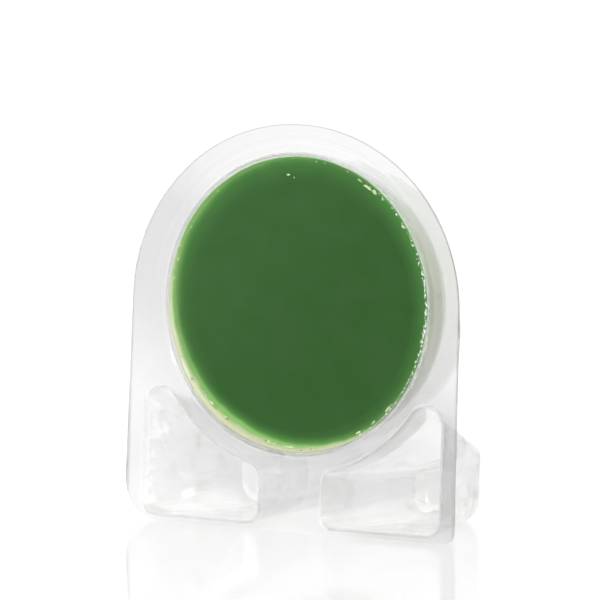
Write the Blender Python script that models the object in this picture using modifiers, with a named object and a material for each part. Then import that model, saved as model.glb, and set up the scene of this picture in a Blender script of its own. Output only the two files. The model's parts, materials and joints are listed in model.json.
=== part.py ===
"""Stand-up clear tray with a poured shaving soap puck.

The tray is one thermoformed sheet: a flat arched flange, a round well that holds the soap, and two
deep hollow feet pressed backwards from the flange's bottom corners. The puck lies in the well with
a small gap all round and comes out through the well's mouth, along the well's axis.

The shapes are drawn in the sheet's own frame: X to the right, Y backwards from the flange's front
face, Z up the flange, with the origin at the middle of the well's mouth. An empty then leans that
frame back, so that the tray stands on the flange's bottom edge and on the pads under its feet.
World Z = 0 is the surface it stands on. All lengths are in metres and all angles in degrees.
"""

import math

import bmesh
import bpy
from mathutils import Vector

COLLECTION = "shaving_soap_pack"

# How the tray stands
LEAN = 3.7
FRAME_SETBACK = -0.01505

# The sheet and its flange
SHEET = 0.0005
ARCH_HALF_WIDTH = 0.0407
ARCH_HEIGHT = 0.0394
BASE_HALF_WIDTH = 0.0412
BASE_DROP = 0.0494
LEFT_CORNER_RADIUS = 0.0090
RIGHT_CORNER_RADIUS = 0.0025
ARCH_STEPS = 40
CORNER_STEPS = 5

# The well for the soap
WELL_RADIUS = 0.03275
WELL_DEPTH = 0.0195
WELL_DRAFT = 13.0
WELL_FLOOR_RADIUS = 0.0090
MOUTH_ROLL = ((0.0338, 0.0), (0.0332, 0.0002), (0.0327, 0.0007))
WALL_START = 0.0013
ROUND_STEPS = 56
FLOOR_ARC_STEPS = 6

# The hollow feet, drawn for the right foot
FOOT_INNER = 0.0080
FOOT_OUTER = 0.0372
FOOT_ARC_RADIUS = 0.0371
FOOT_BOTTOM = -0.0479
FOOT_DEPTH = 0.0350
FOOT_LIP = 0.0006
FOOT_LIP_DEPTH = 0.0009
PAD_START = 0.0250
REAR_ROUNDING = 0.0030
TAPER_CENTRE = (0.0205, -0.0380)
TAPER_END = 0.50
REAR_HALF_SIZE = (0.0078, 0.0092)
FRONT_CORNERS = {"top": 0.0039, "inner": 0.0027, "bottom_inner": 0.0025, "bottom_outer": 0.0030}
REAR_CORNERS = {"top": 0.0060, "inner": 0.0040, "bottom_inner": 0.0055, "bottom_outer": 0.0065}

# The soap puck
PUCK_GAP = 0.0003
PUCK_FACE_DEPTH = 0.0016
PUCK_EDGE = 0.0004

LEAN_RADIANS = math.radians(LEAN)
MERGE = 0.00001


def clear_scene():
    """Remove every object, so that the script gives the same scene each time."""
    for obj in list(bpy.data.objects):
        bpy.data.objects.remove(obj, do_unlink=True)


def make_collection(name):
    """A collection of this name, linked to the scene."""
    collection = bpy.data.collections.new(name)
    bpy.context.scene.collection.children.link(collection)
    return collection


def clear_plastic():
    """Water-clear PET sheet."""
    material = bpy.data.materials.new("clear_pet")
    material.use_nodes = True
    shader = material.node_tree.nodes["Principled BSDF"]
    shader.inputs["Base Color"].default_value = (0.93, 0.94, 0.93, 1.0)
    shader.inputs["Roughness"].default_value = 0.05
    shader.inputs["IOR"].default_value = 1.57
    shader.inputs["Transmission Weight"].default_value = 0.9
    return material


def green_soap():
    """Translucent green glycerine soap."""
    material = bpy.data.materials.new("green_glycerine_soap")
    material.use_nodes = True
    shader = material.node_tree.nodes["Principled BSDF"]
    shader.inputs["Base Color"].default_value = (0.05, 0.15, 0.04, 1.0)
    shader.inputs["Roughness"].default_value = 0.35
    shader.inputs["Metallic"].default_value = 0.0
    return material


def arc(centre, radius, start, end, steps):
    """Points on an arc about centre, from the start angle to the end angle, both included."""
    points = []
    for step in range(steps + 1):
        angle = math.radians(start + (end - start) * step / steps)
        points.append((centre[0] + radius * math.cos(angle), centre[1] + radius * math.sin(angle)))
    return points


def flange_outline():
    """The flange's outer edge, counter-clockwise from the right end of the arch."""
    arch = [
        (ARCH_HALF_WIDTH * x, ARCH_HEIGHT * z)
        for x, z in arc((0.0, 0.0), 1.0, 0.0, 180.0, ARCH_STEPS)
    ]
    left_centre = (-BASE_HALF_WIDTH + LEFT_CORNER_RADIUS, -BASE_DROP + LEFT_CORNER_RADIUS)
    right_centre = (BASE_HALF_WIDTH - RIGHT_CORNER_RADIUS, -BASE_DROP + RIGHT_CORNER_RADIUS)
    left_corner = arc(left_centre, LEFT_CORNER_RADIUS, 180.0, 270.0, CORNER_STEPS)
    right_corner = arc(right_centre, RIGHT_CORNER_RADIUS, 270.0, 360.0, CORNER_STEPS)
    return arch + left_corner + right_corner


def well_radius_at(depth, inset=0.0):
    """Radius of the well's side at this depth, moved inwards by inset."""
    draft = math.radians(WELL_DRAFT)
    return WELL_RADIUS - depth * math.tan(draft) - inset / math.cos(draft)


def well_profile(start_depth, inset=0.0):
    """Radius and depth down the well's side and round to its flat floor, moved inwards by inset."""
    draft = math.radians(WELL_DRAFT)
    centre_depth = WELL_DEPTH - WELL_FLOOR_RADIUS
    centre_radius = well_radius_at(centre_depth) - WELL_FLOOR_RADIUS / math.cos(draft)
    centre = (centre_radius, centre_depth)
    rounding = arc(centre, WELL_FLOOR_RADIUS - inset, WELL_DRAFT, 90.0, FLOOR_ARC_STEPS)
    return [(well_radius_at(start_depth, inset), start_depth)] + rounding


def floor_at(depth):
    """Height, in the sheet's frame, of the inside of a foot's bottom wall where it lies flat."""
    edge = BASE_DROP * math.cos(LEAN_RADIANS) + SHEET * math.sin(LEAN_RADIANS)
    inside = edge - SHEET
    return (depth * math.sin(LEAN_RADIANS) - inside) / math.cos(LEAN_RADIANS)


def foot_outline(corners, spread):
    """A foot's cross-section before tapering: five sides, one of them concentric with the well."""
    inner = FOOT_INNER - spread
    outer = FOOT_OUTER + spread
    bottom = FOOT_BOTTOM - spread
    hollow = FOOT_ARC_RADIUS - spread
    radius = {name: value + spread for name, value in corners.items()}

    top_x = outer - radius["top"]
    top_centre = (top_x, -math.sqrt((hollow + radius["top"]) ** 2 - top_x ** 2))
    top_angle = math.degrees(math.atan2(top_centre[1], top_centre[0]))
    inner_x = inner + radius["inner"]
    inner_centre = (inner_x, -math.sqrt((hollow + radius["inner"]) ** 2 - inner_x ** 2))
    inner_angle = math.degrees(math.atan2(inner_centre[1], inner_centre[0]))
    low_inner = (inner + radius["bottom_inner"], bottom + radius["bottom_inner"])
    low_outer = (outer - radius["bottom_outer"], bottom + radius["bottom_outer"])

    points = arc(top_centre, radius["top"], 0.0, top_angle + 180.0, 6)
    points += arc((0.0, 0.0), hollow, top_angle, inner_angle, 6)[1:-1]
    points += arc(inner_centre, radius["inner"], inner_angle + 180.0, 180.0, 3)
    points += arc(low_inner, radius["bottom_inner"], 180.0, 270.0, 3)
    points += arc(low_outer, radius["bottom_outer"], 270.0, 360.0, 3)
    return points


def foot_section(depth, spread=0.0, inset=0.0):
    """The foot's cross-section at this depth, as points in the sheet's frame."""
    share = depth / FOOT_DEPTH
    corners = {
        name: FRONT_CORNERS[name] + share * (REAR_CORNERS[name] - FRONT_CORNERS[name])
        for name in FRONT_CORNERS
    }
    taper = 1.0 - share * (1.0 - TAPER_END)
    mid_x, mid_z = TAPER_CENTRE
    if depth < PAD_START:
        lowest = FOOT_BOTTOM + (floor_at(PAD_START) - FOOT_BOTTOM) * depth / PAD_START
    else:
        lowest = floor_at(depth)
    drop = (lowest - mid_z) / (FOOT_BOTTOM - mid_z)
    shrink_x = 1.0 - inset / REAR_HALF_SIZE[0]
    shrink_z = 1.0 - inset / REAR_HALF_SIZE[1]
    section = []
    for x, z in foot_outline(corners, spread):
        rise = taper if z > mid_z else drop
        across = mid_x + (x - mid_x) * taper * shrink_x
        up = mid_z + (z - mid_z) * rise * shrink_z
        section.append(Vector((across, depth, up)))
    return section


def foot_sections():
    """The foot's cross-sections from its mouth in the flange to its rounded rear end."""
    sections = [foot_section(0.0, spread=FOOT_LIP), foot_section(FOOT_LIP_DEPTH)]
    rear_start = FOOT_DEPTH - REAR_ROUNDING
    for depth in (0.5 * PAD_START, PAD_START, rear_start):
        sections.append(foot_section(depth))
    for angle in (30.0, 60.0, 90.0):
        turn = math.radians(angle)
        depth = rear_start + REAR_ROUNDING * math.sin(turn)
        inset = REAR_ROUNDING * (1.0 - math.cos(turn))
        sections.append(foot_section(depth, inset=inset))
    return sections


def add_ring(mesh, points):
    """Add a closed ring of points, and return its vertices and edges."""
    verts = [mesh.verts.new(point) for point in points]
    edges = [mesh.edges.new((verts[i - 1], verts[i])) for i in range(len(verts))]
    return verts, edges


def skin_rings(mesh, rings):
    """Join each ring to the next with quads, and close the last one with a face."""
    for front, back in zip(rings, rings[1:]):
        count = len(front)
        for i in range(count):
            mesh.faces.new((front[i - 1], front[i], back[i], back[i - 1]))
    mesh.faces.new(rings[-1])


def mirrored(points):
    """The same ring on the other side of the sheet's middle, still counter-clockwise."""
    return [Vector((-point.x, point.y, point.z)) for point in reversed(points)]


def well_rings():
    """Rings from the rolled mouth of the well to the edge of its flat floor."""
    profile = list(MOUTH_ROLL) + well_profile(WALL_START)
    rings = []
    for radius, depth in profile:
        ring = arc((0.0, 0.0), radius, 0.0, 360.0, ROUND_STEPS)[:-1]
        rings.append([Vector((x, depth, z)) for x, z in ring])
    return rings


def tray_surface():
    """The front face of the whole sheet, as one open surface whose normals face the front."""
    mesh = bmesh.new()
    outline = [Vector((x, 0.0, z)) for x, z in flange_outline()]
    borders = add_ring(mesh, outline)[1]
    right_foot = foot_sections()
    left_foot = [mirrored(section) for section in right_foot]
    for sections in (well_rings(), right_foot, left_foot):
        rings = []
        for index, section in enumerate(sections):
            verts, edges = add_ring(mesh, section)
            rings.append(verts)
            if index == 0:
                borders += edges
        skin_rings(mesh, rings)
    bmesh.ops.triangle_fill(mesh, use_beauty=True, edges=borders)
    bmesh.ops.recalc_face_normals(mesh, faces=mesh.faces)
    flange_face = min(mesh.faces, key=lambda face: face.calc_center_median().y)
    if flange_face.normal.y > 0.0:
        bmesh.ops.reverse_faces(mesh, faces=mesh.faces)
    return mesh


def make_tray(collection, frame):
    """The clear tray: the open surface, thickened backwards into a sheet."""
    surface = tray_surface()
    mesh = bpy.data.meshes.new("clear_tray")
    surface.to_mesh(mesh)
    surface.free()
    mesh.shade_smooth()
    mesh.set_sharp_from_angle(angle=math.radians(35.0))
    tray = bpy.data.objects.new("clear_tray", mesh)
    collection.objects.link(tray)
    tray.parent = frame
    tray.data.materials.append(clear_plastic())
    thickness = tray.modifiers.new("sheet_thickness", "SOLIDIFY")
    thickness.thickness = SHEET
    thickness.offset = -1.0
    thickness.use_even_offset = True
    return tray


def puck_profile():
    """Half of the puck's section, from the middle of its front face to the middle of its back."""
    edge_radius = well_radius_at(PUCK_FACE_DEPTH + PUCK_EDGE, PUCK_GAP)
    front = [(0.0, PUCK_FACE_DEPTH), (edge_radius - PUCK_EDGE, PUCK_FACE_DEPTH)]
    side = well_profile(PUCK_FACE_DEPTH + PUCK_EDGE, PUCK_GAP)
    back = [(0.0, WELL_DEPTH - PUCK_GAP)]
    return front + side + back


def make_puck(collection, frame):
    """The soap puck: a turned solid whose axis is the well's axis."""
    mesh = bpy.data.meshes.new("soap_puck")
    points = [(radius, 0.0, -depth) for radius, depth in puck_profile()]
    edges = [(i, i + 1) for i in range(len(points) - 1)]
    mesh.from_pydata(points, edges, [])
    puck = bpy.data.objects.new("soap_puck", mesh)
    collection.objects.link(puck)
    puck.parent = frame
    puck.rotation_euler = (math.radians(90.0), 0.0, 0.0)
    puck.data.materials.append(green_soap())
    turn = puck.modifiers.new("turned", "SCREW")
    turn.steps = ROUND_STEPS
    turn.render_steps = ROUND_STEPS
    turn.use_merge_vertices = True
    turn.merge_threshold = MERGE
    turn.use_smooth_shade = True
    return puck


def make_frame(collection):
    """The empty at the middle of the well's mouth, which leans the sheet's frame back."""
    frame = bpy.data.objects.new("sheet_frame", None)
    collection.objects.link(frame)
    height = BASE_DROP * math.cos(LEAN_RADIANS) + SHEET * math.sin(LEAN_RADIANS)
    frame.location = (0.0, FRAME_SETBACK, height)
    frame.rotation_euler = (-LEAN_RADIANS, 0.0, 0.0)
    return frame


def main():
    clear_scene()
    collection = make_collection(COLLECTION)
    frame = make_frame(collection)
    make_tray(collection, frame)
    make_puck(collection, frame)


main()
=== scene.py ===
"""Looks of a shaving soap pack: a clear thermoformed tray and the green soap poured in its well.

Shapes are made in the sheet's own frame: X to the right, Y backwards from the flange's front face,
Z up the flange, with the origin at the middle of the well's mouth. Each finished mesh is then
moved to its place in the world, where that frame leans back on the floor. Lengths are in metres
and angles in degrees, unless a comment says otherwise.
"""

import json
import math
import random

import bmesh
import bpy
import numpy as np
from mathutils import Matrix, Vector, noise
from mathutils.geometry import delaunay_2d_cdt


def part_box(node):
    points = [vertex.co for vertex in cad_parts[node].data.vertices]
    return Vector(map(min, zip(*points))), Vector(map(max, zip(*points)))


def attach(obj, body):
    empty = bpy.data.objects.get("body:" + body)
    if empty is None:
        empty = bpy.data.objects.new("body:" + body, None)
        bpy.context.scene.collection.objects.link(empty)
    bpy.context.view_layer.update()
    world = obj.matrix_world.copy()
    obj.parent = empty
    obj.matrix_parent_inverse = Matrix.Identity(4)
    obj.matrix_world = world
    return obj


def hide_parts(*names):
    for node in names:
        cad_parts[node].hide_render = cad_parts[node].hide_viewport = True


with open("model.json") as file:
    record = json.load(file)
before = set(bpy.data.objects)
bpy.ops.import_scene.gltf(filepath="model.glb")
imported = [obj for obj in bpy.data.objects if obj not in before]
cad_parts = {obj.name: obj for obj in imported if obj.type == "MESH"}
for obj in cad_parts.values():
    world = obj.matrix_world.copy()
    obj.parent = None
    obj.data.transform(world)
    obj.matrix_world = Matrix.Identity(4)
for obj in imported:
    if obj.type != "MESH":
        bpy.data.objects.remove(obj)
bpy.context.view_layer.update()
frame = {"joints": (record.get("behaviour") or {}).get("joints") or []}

MM = 0.001

# How the tray stands: the puck leaves at right angles to the sheet, so its way out gives the lean
WAY_OUT = Vector(frame["joints"][0]["axis"])
LEAN = math.asin(WAY_OUT.z)
SHEET = 0.5 * MM

# The flange, as in the CAD source
ARCH_HALF_WIDTH = 40.7 * MM
ARCH_HEIGHT = 39.4 * MM
BASE_HALF_WIDTH = 41.2 * MM
BASE_DROP = 49.4 * MM
LEFT_CORNER_RADIUS = 9.0 * MM
RIGHT_CORNER_RADIUS = 2.5 * MM
FLANGE_GRID = 2.2 * MM
GRID_CLEARANCE = 0.55
ARCH_STEPS = 110
CORNER_STEPS = 14

# How far the flange waves off its plane, and the size of its waves across and up
BOW_HEIGHT = 0.22 * MM
BOW_SIZE = (30.0 * MM, 34.0 * MM)
WAVE_HEIGHT = 0.05 * MM
WAVE_SIZE = (9.0 * MM, 11.0 * MM)
BOW_ON_FLOOR = 0.25
BOW_FREE = 10.0 * MM
BOW_FADE = 8.0 * MM

# The well
WELL_RADIUS = 32.75 * MM
WELL_DEPTH = 19.5 * MM
WELL_DRAFT = math.radians(13.0)
WELL_FLOOR_RADIUS = 9.0 * MM
WELL_FLOOR_SHARES = (0.82, 0.64, 0.46, 0.28, 0.12)
WELL_RIPPLE = 0.05 * MM
WELL_RIPPLE_DEPTHS = (3.0 * MM, 8.0 * MM)
WELL_RIPPLE_AROUND = 3.0
WELL_RIPPLE_DOWN = 160.0
WELL_SIDE_STEPS = 14
WALL_START = 0.9 * MM
MOUTH_RADIUS = 33.7 * MM
MOUTH_ROLL = 1.2 * MM
MOUTH_ROLL_STEPS = 9
WELL_STEPS = 176

# The feet
FOOT_INNER = 8.0 * MM
FOOT_OUTER = 37.2 * MM
FOOT_ARC_RADIUS = 37.1 * MM
FOOT_BOTTOM = -47.9 * MM
FOOT_DEPTH = 35.0 * MM
FOOT_LIP = 0.6 * MM
FOOT_LIP_DEPTH = 0.9 * MM
FOOT_SHEET = 0.32 * MM
FOOT_THINNING = (0.5 * MM, 6.0 * MM)
FOOT_MARGIN = 4.0 * MM
PAD_START = 25.0 * MM
REAR_ROUNDING = 3.0 * MM
TAPER_CENTRE = (20.5 * MM, -38.0 * MM)
TAPER_END = 0.50
REAR_HALF_SIZE = (7.8 * MM, 9.2 * MM)
FRONT_CORNERS = {
    "top": 3.9 * MM,
    "inner": 2.7 * MM,
    "bottom_inner": 2.5 * MM,
    "bottom_outer": 3.0 * MM,
}
REAR_CORNERS = {
    "top": 6.0 * MM,
    "inner": 4.0 * MM,
    "bottom_inner": 5.5 * MM,
    "bottom_outer": 6.5 * MM,
}
TOP_STEPS = 24
HOLLOW_STEPS = 40
FOOT_STEPS = 176
FOOT_RINGS = 56
ROUNDING_ANGLES = (0.0, 15.0, 30.0, 45.0, 60.0, 75.0, 90.0)
REAR_END_SHARES = (0.86, 0.72, 0.58, 0.44, 0.30, 0.16, 0.06)

# Creases pressed into the feet: (start, end, width, height), in the sheet's frame and millimetres.
# A crease with a negative height is a groove, and each fades over a share of its length.
CREASE_FADE = 0.18
RIGHT_CREASES = (
    ((12.0, 30.0, -35.0), (27.0, 30.0, -30.5), 0.55, 0.50),
    ((10.5, 24.0, -31.5), (21.0, 26.0, -30.5), 0.40, -0.35),
    ((29.0, 14.0, -24.5), (33.5, 23.0, -31.0), 0.45, 0.45),
    ((33.5, 23.0, -31.0), (30.0, 31.0, -33.5), 0.40, -0.40),
    ((30.5, 17.0, -36.0), (29.5, 30.0, -41.5), 0.45, 0.40),
    ((14.0, 33.5, -38.5), (19.0, 34.5, -37.4), 0.40, 0.35),
    ((13.5, 33.5, -41.0), (22.0, 34.5, -43.0), 0.50, -0.30),
)
LEFT_CREASES = (
    ((-22.0, 33.0, -31.0), (-25.0, 34.5, -39.0), 0.50, 0.45),
    ((-30.0, 20.0, -27.0), (-26.0, 29.0, -33.0), 0.45, -0.40),
    ((-14.0, 30.0, -42.0), (-27.0, 31.0, -43.2), 0.45, 0.40),
    ((-12.5, 26.0, -30.5), (-17.0, 33.0, -34.0), 0.45, 0.35),
    ((-10.0, 6.0, -30.0), (-11.5, 20.0, -33.0), 0.55, 0.35),
    ((-9.5, 8.0, -44.0), (-12.5, 24.0, -45.5), 0.60, -0.40),
)

# Dents in the feet: the height and size of the broad ones, the fine ones and the ridges between
# them, in millimetres, and the depths between which the flat flange gives way to them. Ridges
# show where a noise lies in a range of its values.
BROAD_DENT = 0.40
BROAD_DENT_SIZE = 12.0
FINE_DENT = 0.06
FINE_DENT_SIZE = 4.5
RIDGE = 0.14
RIDGE_SIZE = 11.0
RIDGE_WIDTH = 0.10
RIDGE_PATCHES = (-0.10, 0.35)
DENTS_START = 2.5
DENTS_FULL = 13.0

# The soap
PUCK_GAP = 0.12 * MM
FACE_DEPTH = 1.6 * MM
FACE_SINK = 0.15 * MM
FACE_WAVE = 0.035 * MM
FACE_WAVE_SIZE = 11.0 * MM
MENISCUS_RISE = 0.45 * MM
MENISCUS_WIDTH = 1.1 * MM
RIM_ROUNDING = 0.12 * MM
FACE_SHARES = (0.06, 0.93, 26)
EDGE_SHARES = (0.945, 0.997, 9)
BACK_SHARES = (0.8, 0.6, 0.4, 0.2, 0.08)

# How high the meniscus climbs, as a share of its rise: its mean, its slow and quick changes round
# the rim with how many of each there are, and its limits
CLIMB_MEAN = 0.75
CLIMB_SLOW = 0.9
CLIMB_SLOW_SCALE = 2.2
CLIMB_QUICK = 0.35
CLIMB_QUICK_SCALE = 9.0
CLIMB_LIMITS = (0.15, 1.35)

# Larger chips on the soap's rim: turn in degrees, radius, length, width and height in millimetres
CHIPS = (
    (58.0, 31.2, 2.6, 0.8, 0.25),
    (54.5, 31.3, 1.7, 0.9, 0.30),
    (62.5, 31.4, 1.6, 0.5, 0.20),
    (36.0, 31.5, 1.0, 0.7, 0.35),
    (97.0, 28.4, 0.9, 0.4, 0.12),
    (94.0, 27.7, 0.4, 0.3, 0.10),
    (165.0, 31.5, 0.7, 0.3, 0.20),
    (222.0, 31.0, 1.8, 0.5, 0.20),
    (229.0, 30.9, 3.0, 0.6, 0.22),
    (237.0, 31.0, 2.4, 0.6, 0.20),
    (259.0, 31.0, 3.6, 0.7, 0.20),
    (268.0, 31.2, 2.6, 0.6, 0.20),
    (301.0, 31.2, 1.5, 0.5, 0.22),
    (309.0, 31.3, 1.2, 0.5, 0.20),
    (318.0, 31.4, 2.0, 0.6, 0.25),
)
CHIP_POINTS = 14
CHIP_RAGGEDNESS = 0.35
CHIP_SINK = 0.03 * MM
CHIP_SHOULDER = (0.9, 0.55)
CHIP_TOP = 0.5
WALL_CLEARANCE = 0.02 * MM
CHIP_SEED = 7

# Small chips all round and bubbles on the right: how many there are, the middle and spread of
# their turns in degrees, and the ranges of their radii and sizes in millimetres
SMALL_CHIPS = 46
SMALL_CHIP_TURNS = (-5.0, 75.0)
SMALL_CHIP_RADII = (31.3, 31.9)
SMALL_CHIP_LENGTHS = (0.25, 0.8)
SMALL_CHIP_WIDTHS = (0.15, 0.35)
SMALL_CHIP_HEIGHT = 0.15 * MM
BUBBLES = 170
BUBBLE_TURNS = (-4.0, 22.0)
BUBBLE_SIZES = (0.06, 0.15)
BUBBLE_RADII = (31.55, 32.10)
BUBBLE_STRETCH = (1.0, 1.9)
BUBBLE_FLATTENING = 0.8
BUBBLE_LIFT = 0.4
BUBBLE_SEED = 11

# Edges of the sheet sharper than this are drawn as edges
SHARP_ANGLE = math.radians(50.0)

# The sheet: the share of its light that goes straight on, as through a film too thin to bend it,
# the index that bends the rest, and the tints of the straight light and of the lamps' light
THIN_SHARE = 0.50
SHEET_IOR = 1.45
STRAIGHT_TINT = (0.972, 0.973, 0.972)
LAMPLIGHT_TINT = (0.975, 0.98, 0.975)

# The sheet's faint grey with painted shade, darker through its lower middle where shade is seen
# through it, by height up the flange and, with the slant, by place across it
SHADE_SLANT = 0.6
SHADE_LOW = -42.0 * MM
SHADE_HIGH = 40.0 * MM
SHEET_TINTS_AND_SHADE = (
    (0.0, (0.880, 0.882, 0.883)),
    (0.25, (0.600, 0.602, 0.603)),
    (0.50, (0.590, 0.592, 0.593)),
    (0.68, (0.820, 0.822, 0.823)),
    (1.0, (0.920, 0.921, 0.920)),
)
DRAWN_TINT = (0.965, 0.965, 0.963)
DRAWN_SHARE = 0.95
STAIN_TINT = (0.56, 0.53, 0.41)
# Painted shade on the inner half of the right foot's rear end
REAR_FOOT_SHADE = (0.62, 0.62, 0.61)
SOAP_FILM_TINT = (0.74, 0.75, 0.42)
# Painted shade: a dark line along the flange's cut edge
CUT_EDGE_SHADE = (0.38, 0.38, 0.37)

# Where those tints and the painted shade lie, in the sheet's frame: two places, and the tint's
# share at each of them
DRAWN_DEPTH = (0.5 * MM, 3.0 * MM, 0.0, 1.0)
REAR_SHADE_DEPTH = (31.0 * MM, 33.5 * MM, 0.0, 0.9)
REAR_SHADE_INNER_HALF = (19.0 * MM, 27.0 * MM, 1.0, 0.0)
REAR_SHADE_RIGHT_FOOT = (0.0, 6.0 * MM, 0.0, 1.0)
FILM_WALL = (34.2 * MM, 33.4 * MM)
FILM_DEPTH = (1.0 * MM, 3.0 * MM, 0.0, 1.0)
FILM_RIGHT = (12.0 * MM, 30.0 * MM, 0.0, 0.9)
FILM_LOWER = (-32.0 * MM, -6.0 * MM, 0.35, 1.0)
FILM_HIGHER = (8.0 * MM, 24.0 * MM, 1.0, 0.0)
CUT_EDGE = (0.9925, 0.9965, 0.0, 0.8)

# Noises on the sheet: scale, in features a metre, and detail
CLOUD_NOISE = (26.0, 2.0)
STAIN_NOISE = (150.0, 5.0)
SMUDGE_NOISE = (95.0, 4.0)
STREAK_NOISE = (420.0, 3.0)
STREAK_STRETCH = (0.12, 0.25, 1.0)
RIPPLE_NOISE = (130.0, 2.0)

# What the noises make: the lowest and highest value that counts, and what each stands for
CLOUD_RANGE = (0.35, 0.65, -3.0 * MM, 3.0 * MM)
STAIN_RANGE = (0.55, 0.72, 0.0, 0.75)
HAZE_RANGE = (0.52, 0.72, 0.02, 0.10)
DRAWN_HAZE_RANGE = (0.40, 0.68, 0.02, 0.14)
FILM_WOBBLE = 1.0 * MM

# Bumps on the sheet: their heights, and the radii of the bead's inner and outer steps
RIPPLE_BUMP = 0.06 * MM
BEAD_BUMP = 0.05 * MM
MARKS_BUMP = 0.10 * MM
BEAD_INNER = (35.0 * MM, 35.7 * MM)
BEAD_OUTER = (36.3 * MM, 37.0 * MM)

# The soap's colours, from its own deep green in the middle to a painted glow at its rim, and those
# laid over them, some of them painted light
SOAP_COLOURS_AND_GLOW = (
    (0.0, (0.0158, 0.0635, 0.0092)),
    (0.13, (0.019, 0.077, 0.013)),
    (0.28, (0.022, 0.082, 0.015)),
    (0.57, (0.035, 0.122, 0.023)),
    (0.71, (0.040, 0.140, 0.025)),
    (0.84, (0.058, 0.195, 0.034)),
    (0.93, (0.085, 0.260, 0.050)),
    (1.0, (0.165, 0.350, 0.095)),
)
SOAP_CLOUD = (0.013, 0.066, 0.007)
# Painted light: the face drawn towards this green towards its upper left
SOAP_LIT = (0.024, 0.082, 0.017)
# Painted glow: the face paler and yellower at its edge, most at its lower left
SOAP_EDGE_GLOW = (0.215, 0.350, 0.125)
SOAP_BRIGHTEST_GLOW = (0.370, 0.390, 0.255)
SOAP_SIDE = (0.085, 0.130, 0.024)
# Painted light on the side's right, and a painted sheen at its upper right
SOAP_RIGHT_SIDE_LIT = (0.150, 0.185, 0.045)
SOAP_SIDE_SHEEN = (0.26, 0.33, 0.17)

# Where the face's colours and its painted glow lie: (centre, radius where each starts, radius where
# it is full)
RIM_GLOW = ((1.1 * MM, -0.5 * MM), 27.6 * MM, 33.2 * MM)
LOW_GLOW = ((2.3 * MM, 2.7 * MM), 31.2 * MM, 33.9 * MM)
EDGE_GLOW = ((1.5 * MM, 1.5 * MM), 30.6 * MM, 34.5 * MM)
EDGE_GLOW_POWER = 2.4
BRIGHTEST_GLOW = ((1.0 * MM, 1.6 * MM), 33.0 * MM, 33.8 * MM)
MOUTH_CENTRE = (0.0, 0.0)
LIT_SLOPE = (-14.0 * MM, 30.0 * MM, 0.0, 0.55)

# Where the side's colours, its painted light and its painted sheen lie, as for the sheet's tints
SIDE_START = (2.2 * MM, 3.2 * MM, 0.0, 0.85)
SIDE_END = (11.0 * MM, 18.0 * MM, 1.0, 0.0)
LIT_SIDE_RIGHT = (4.0 * MM, 30.0 * MM, 0.0, 0.75)
SHEEN_HIGH = (0.0, 30.0 * MM, 0.0, 0.7)
SHEEN_RIGHT = (2.0 * MM, 14.0 * MM, 0.0, 1.0)

# Noises in and on the soap, and what they make, as for the sheet's
RIM_NOISE = (120.0, 3.0)
RIM_WOBBLE = 1.2 * MM
RAGGED_NOISE = (310.0, 4.0)
RAGGED_WOBBLE = 1.3 * MM
SOAP_CLOUD_NOISE = (42.0, 3.0)
SOAP_CLOUD_RANGE = (0.3, 0.7, 0.0, 0.16)
SOAP_GLOSS_NOISE = (160.0, 4.0)
SOAP_GLOSS_RANGE = (0.3, 0.7, 0.30, 0.42)
SWELL_NOISE = (75.0, 3.0)
SWELL_BUMP = 0.10 * MM
PIT_NOISE = (1400.0, 2.0)
PIT_BUMP = 0.006 * MM
SOAP_SPECULAR = 0.35
SOAP_SCATTER = 0.25
SOAP_SCATTER_COLOURS = (0.5, 1.0, 0.35)
SOAP_SCATTER_REACH = 2.0 * MM

# Residue, bubbles and tabletop: the two ends of each one's colours
RESIDUE_COLOURS = ((0.0, (0.13, 0.24, 0.07)), (1.0, (0.46, 0.52, 0.30)))
BUBBLE_COLOURS = ((0.0, (0.35, 0.42, 0.30)), (1.0, (0.90, 0.91, 0.88)))
FLOOR_COLOURS = ((0.0, (0.76, 0.76, 0.76)), (1.0, (0.78, 0.78, 0.78)))
FLOOR_IOR = 1.45

# The stage: the tabletop's half width, the studio's brightness, and where it dims in front, as
# the cosine of the angle to the middle of the darker part
FLOOR_HALF = 6.0
FLOOR_SQUARES = 8
WORLD_BRIGHT = 1.01
WORLD_DIM = 0.25
DIM_AZIMUTH = -29.65
DIM_START = 0.80
DIM_FULL = 0.97

# Soft boxes: name, azimuth, elevation, distance, width, height and radiance
LAMPS = (
    ("left_box", -82.0, 14.0, 2.6, 0.40, 1.10, 3.5),
    ("right_box", 100.0, 16.0, 2.6, 0.40, 1.10, 4.5),
)

# The key light: azimuth, elevation, width of its disc, and its light against the studio's white
KEY_AZIMUTH = 29.65
KEY_ELEVATION = 24.0
KEY_WIDTH = 7.0
KEY_STRENGTH = 1.0

# The camera: its angle, its distance, its lens and sensor in millimetres, and the place it looks
# at, to the right of the mouth's middle and above it
VIEW_AZIMUTH = 29.65
VIEW_ELEVATION = 7.11
VIEW_DISTANCE = 1.979
VIEW_LENS = 546.0
VIEW_SENSOR = 36.0
VIEW_NEAREST = 0.1
VIEW_FARTHEST = 50.0
VIEW_ASIDE = 1.24 * MM
VIEW_ABOVE = 1.13 * MM


def sheet_matrix():
    """The sheet frame's place in the world, which leans it back and stands it on the floor."""
    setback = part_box("clear_tray")[0].y + BASE_DROP * math.sin(LEAN)
    height = BASE_DROP * math.cos(LEAN) + SHEET * math.sin(LEAN)
    return Matrix.Translation((0.0, setback, height)) @ Matrix.Rotation(-LEAN, 4, "X")


SHEET_FRAME = sheet_matrix()


# ---- curves


def arc(centre, radius, start, end, steps):
    """Points on an arc about centre, from the start angle to the end angle, both included."""
    points = []
    for step in range(steps + 1):
        angle = math.radians(start + (end - start) * step / steps)
        points.append((centre[0] + radius * math.cos(angle), centre[1] + radius * math.sin(angle)))
    return points


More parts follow.
